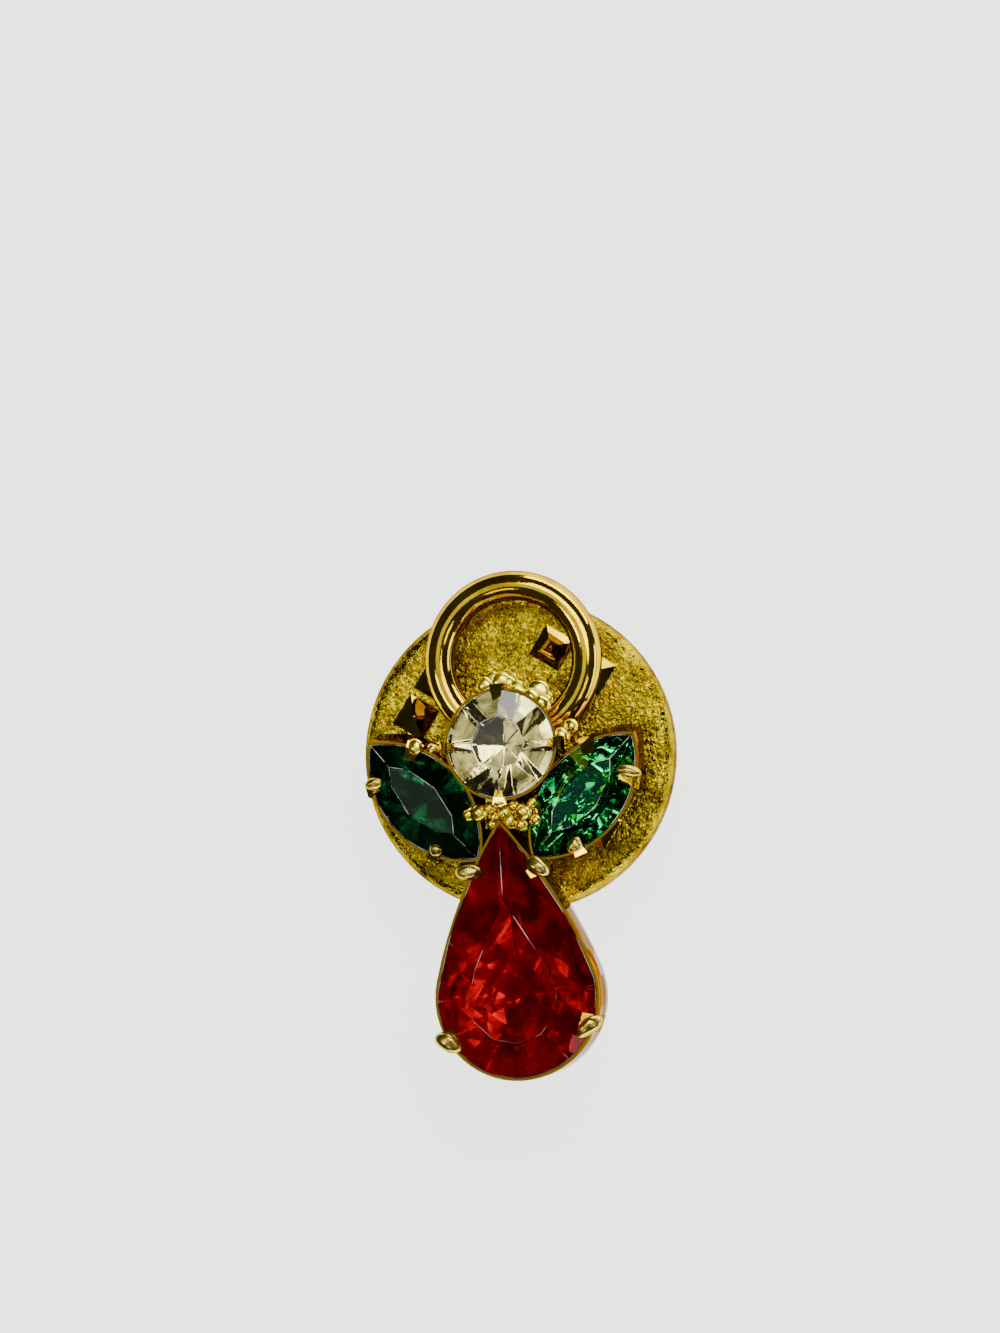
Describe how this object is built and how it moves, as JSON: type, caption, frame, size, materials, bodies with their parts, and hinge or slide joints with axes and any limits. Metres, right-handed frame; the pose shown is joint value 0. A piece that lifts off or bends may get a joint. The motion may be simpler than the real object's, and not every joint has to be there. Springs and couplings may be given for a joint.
{
  "type": "lapel pin",
  "caption": "Gold-tone angel lapel pin: clear round head stone, green wing stones, red pear body and a ring halo, pushed into a round clutch with raised points.",
  "frame": {"origin": "on the axis of the post, in the plane that the clutch rests on", "axes": "+Y up the figure toward the halo, +Z out of the face along the post, +X right as seen from the front"},
  "size_m": [0.0124, 0.0198, 0.0103],
  "materials": {
    "polished_gilt": "polished",
    "satin_gilt": "satin",
    "clear_glass": "polished",
    "green_glass": "polished",
    "red_glass": "polished"
  },
  "bodies": {
    "clutch": {"clutch_disc": "satin_gilt", "clutch_grip": "satin_gilt"},
    "pin": {"setting": "polished_gilt", "head_stone": "clear_glass", "left_wing_stone": "green_glass", "right_wing_stone": "green_glass", "body_stone": "red_glass"}
  },
  "joints": [
    {"name": "pin_slide", "type": "slide", "parent": "clutch", "child": "pin", "axis": [0, 0, 1], "range_m": [-0.0001, 0.008]}
  ]
}
